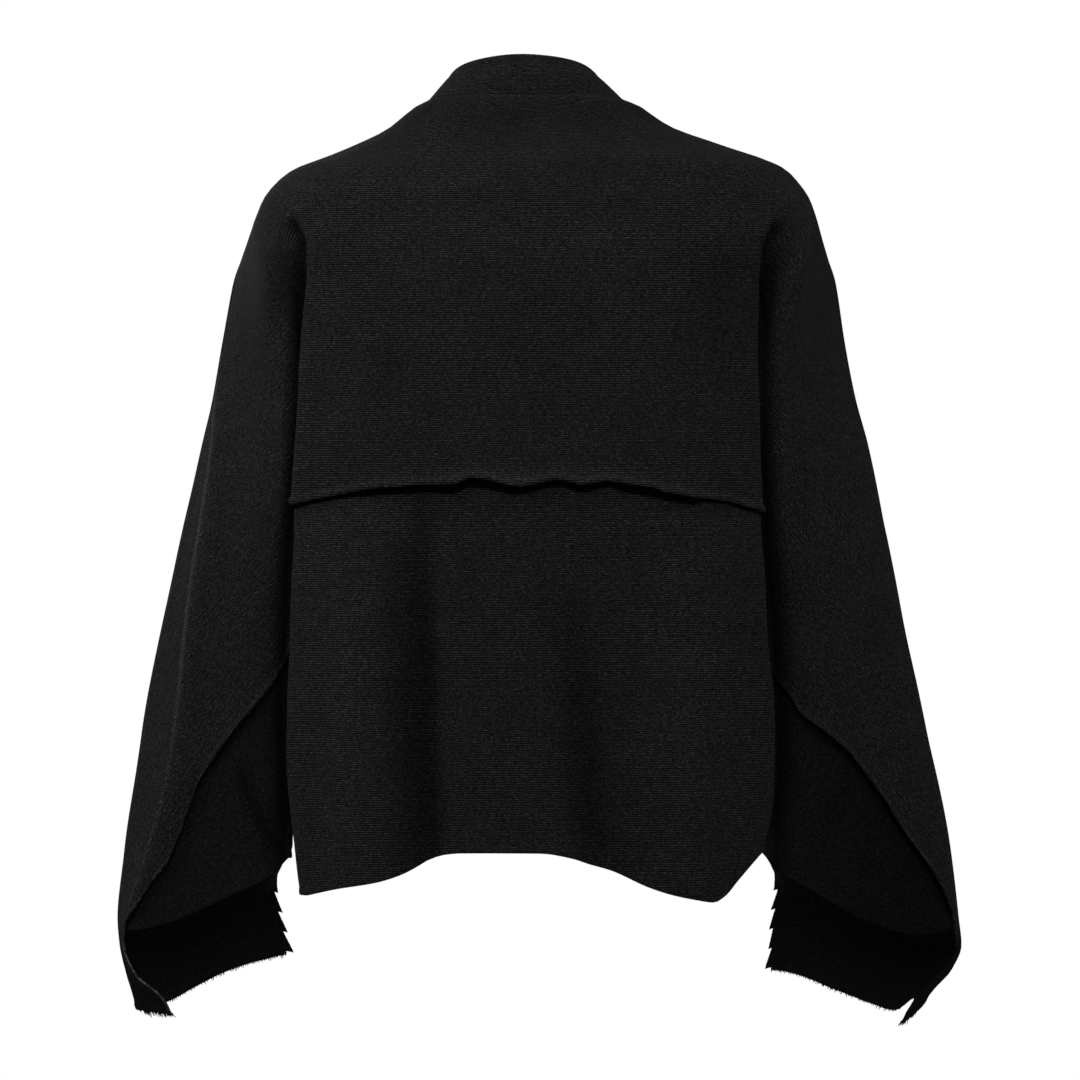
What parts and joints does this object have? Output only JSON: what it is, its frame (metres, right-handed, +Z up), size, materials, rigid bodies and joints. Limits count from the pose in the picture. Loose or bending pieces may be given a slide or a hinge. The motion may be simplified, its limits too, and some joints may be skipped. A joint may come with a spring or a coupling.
{
  "type": "cardigan",
  "caption": "Black knitted cardigan with a funnel collar and kimono sleeves, filled out as worn and seen from the back.",
  "frame": {"origin": "centre of the neck opening at the height of the collar seam at the back, where the shoulders carry it", "axes": "+Z up the wearer's body, +X to the wearer's left, the open front faces -Y and the back faces +Y"},
  "size_m": [0.7092, 0.2498, 0.8091],
  "materials": {
    "collar_knit": "matte knit",
    "upper_back_knit": "matte knit",
    "lower_back_knit": "matte knit",
    "front_left_knit": "matte knit",
    "front_right_knit": "matte knit",
    "under_sleeve_left_knit": "matte knit",
    "under_sleeve_right_knit": "matte knit",
    "cuff_tufts_left_yarn": "matte yarn",
    "cuff_tufts_right_yarn": "matte yarn"
  },
  "bodies": {
    "root": {"collar": "collar_knit", "upper_back": "upper_back_knit", "lower_back": "lower_back_knit", "front_left": "front_left_knit", "front_right": "front_right_knit", "under_sleeve_left": "under_sleeve_left_knit", "under_sleeve_right": "under_sleeve_right_knit", "cuff_tufts_left": "cuff_tufts_left_yarn", "cuff_tufts_right": "cuff_tufts_right_yarn"}
  },
  "joints": []
}
